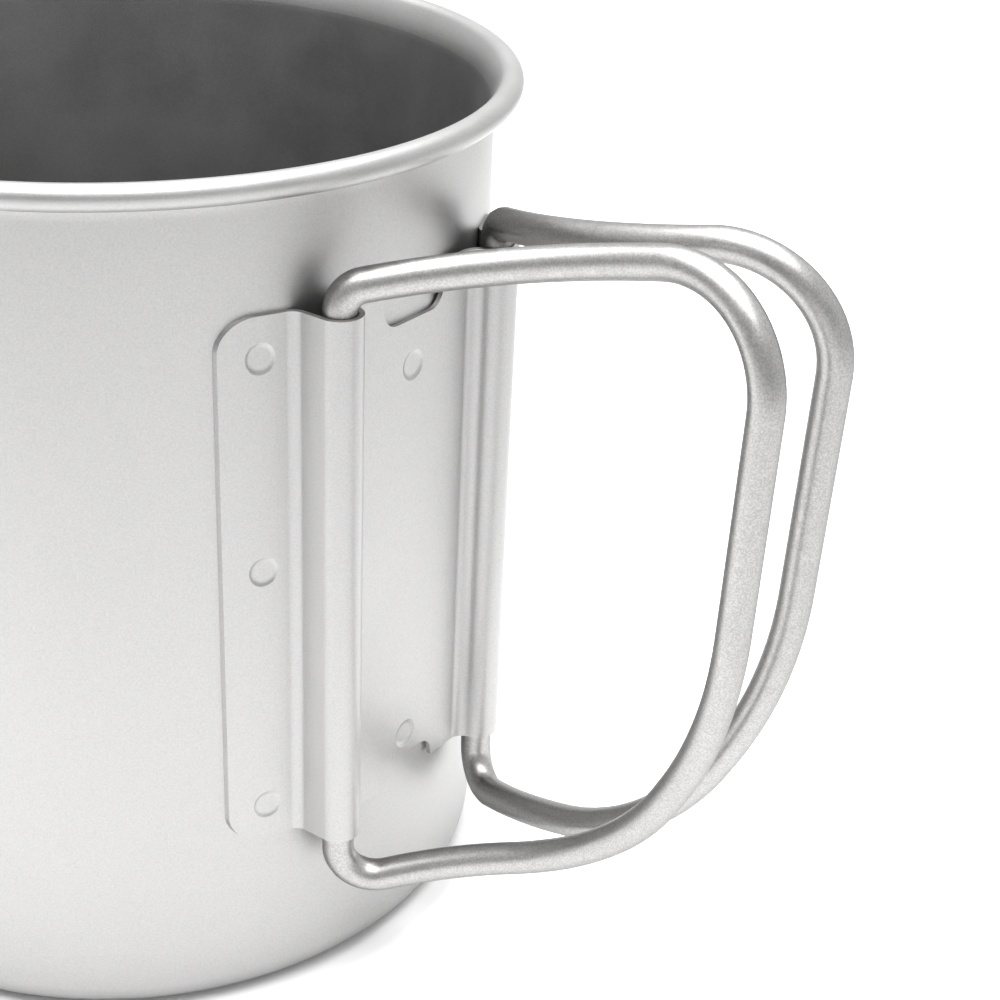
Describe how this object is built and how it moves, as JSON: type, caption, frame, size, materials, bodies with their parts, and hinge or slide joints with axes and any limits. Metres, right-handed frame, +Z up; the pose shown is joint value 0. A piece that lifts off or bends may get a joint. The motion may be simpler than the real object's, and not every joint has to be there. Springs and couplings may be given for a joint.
{
  "type": "camping pot with folding handles",
  "caption": "Open cylindrical titanium camping pot with a rolled rim and two D-shaped wire handles that fold against the wall in a spot-welded bracket.",
  "frame": {"origin": "centre of the underside of the base, on the pot's axis", "axes": "+Z up along the pot's axis, +X towards the middle of the handle bracket, -Y towards the left handle as seen facing the bracket"},
  "size_m": [0.1497, 0.102, 0.11],
  "materials": {
    "pot_titanium": "bead-blasted matte titanium",
    "bracket_titanium": "bead-blasted matte titanium sheet",
    "wire_titanium": "satin titanium wire, lightly worn"
  },
  "bodies": {
    "pot": {"pot_body": "pot_titanium", "handle_bracket": "bracket_titanium"},
    "left_handle": {"left_handle": "wire_titanium"},
    "right_handle": {"right_handle": "wire_titanium"}
  },
  "joints": [
    {"name": "left_handle_hinge", "type": "hinge", "parent": "pot", "child": "left_handle", "pos_m": [0.0491, -0.01445, 0.059], "axis": [0, 0, 1], "range_deg": [-146, 3]},
    {"name": "right_handle_hinge", "type": "hinge", "parent": "pot", "child": "right_handle", "pos_m": [0.0491, 0.01445, 0.059], "axis": [0, 0, -1], "range_deg": [-141, 3]}
  ]
}
